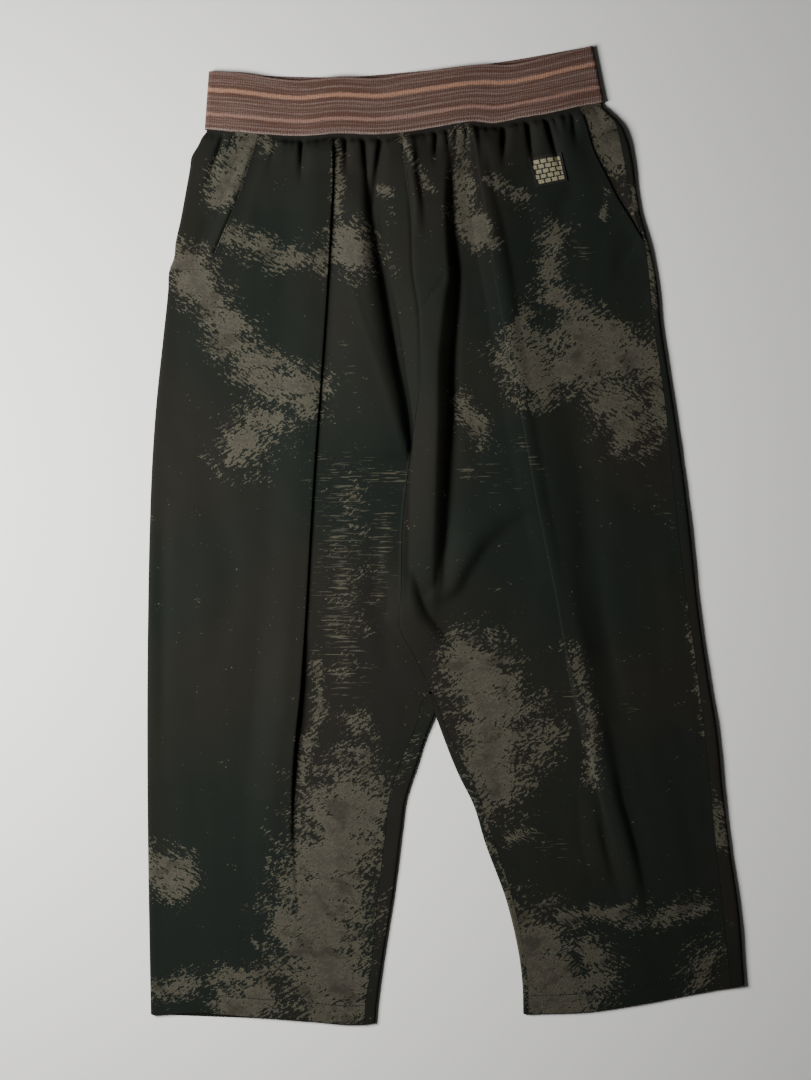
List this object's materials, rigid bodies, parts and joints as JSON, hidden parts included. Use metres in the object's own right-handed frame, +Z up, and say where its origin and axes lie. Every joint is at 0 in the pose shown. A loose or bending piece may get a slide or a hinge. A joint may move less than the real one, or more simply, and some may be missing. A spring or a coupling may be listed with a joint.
{
  "type": "joggers",
  "caption": "Cropped wide-leg joggers with a dropped crotch, a knife pleat in each leg, slant pockets and a wide exposed elastic waist, laid flat on a surface",
  "frame": {"origin": "middle of the laid garment's outline, on the surface it lies on", "axes": "+Y runs up the garment to the waist, +Z up from the surface through the front, +X to the wearer's left"},
  "size_m": [0.5725, 0.937, 0.0153],
  "materials": {
    "elastic": "wide woven elastic, striped, ribbed",
    "cloth": "fine smooth twill with a worn camouflage print",
    "patch": "woven patch"
  },
  "bodies": {
    "root": {"waistband": "elastic", "front_panel_right": "cloth", "front_panel_left": "cloth", "back_panel_right": "cloth", "back_panel_left": "cloth", "pocket_facing_right": "cloth", "pocket_facing_left": "cloth", "hip_patch": "patch"}
  },
  "joints": []
}
